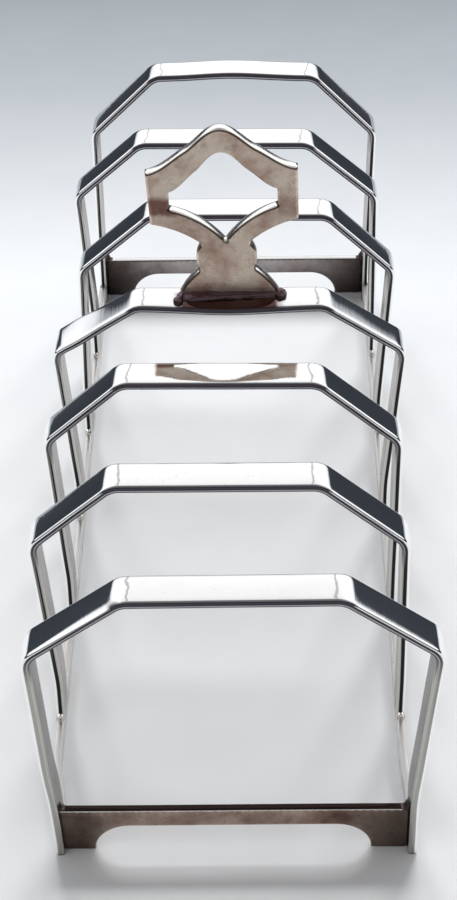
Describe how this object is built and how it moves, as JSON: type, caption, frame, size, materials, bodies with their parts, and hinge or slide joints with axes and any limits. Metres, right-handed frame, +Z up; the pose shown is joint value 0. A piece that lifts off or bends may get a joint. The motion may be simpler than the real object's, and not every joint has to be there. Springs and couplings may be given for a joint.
{
  "type": "toast rack",
  "caption": "Silver-plated toast rack: a row of canted flat-wire hoops on a low arched base, with a pierced upright handle on the middle hoop.",
  "frame": {"origin": "on the table, under the middle of the rack", "axes": "+Z up, +Y along the row of hoops to the back end, +X to the right seen from the front"},
  "size_m": [0.0684, 0.1746, 0.0907],
  "materials": {
    "hoop_strip": "polished silver plate, lightly tarnished in the corners",
    "base_strip": "polished silver plate with brown tarnish",
    "handle_plate": "worn, softly polished silver plate with warm tarnish",
    "solder": "dull silver solder with dark tarnish"
  },
  "bodies": {
    "root": {"hoop_1": "hoop_strip", "hoop_2": "hoop_strip", "hoop_3": "hoop_strip", "hoop_4": "hoop_strip", "hoop_5": "hoop_strip", "hoop_6": "hoop_strip", "hoop_7": "hoop_strip", "back_end_plate": "base_strip", "front_end_plate": "base_strip", "left_side_rail": "base_strip", "right_side_rail": "base_strip", "handle": "handle_plate", "handle_solder": "solder", "back_plate_solder": "solder", "front_plate_solder": "solder", "left_leg_solder": "solder", "right_leg_solder": "solder"}
  },
  "joints": []
}
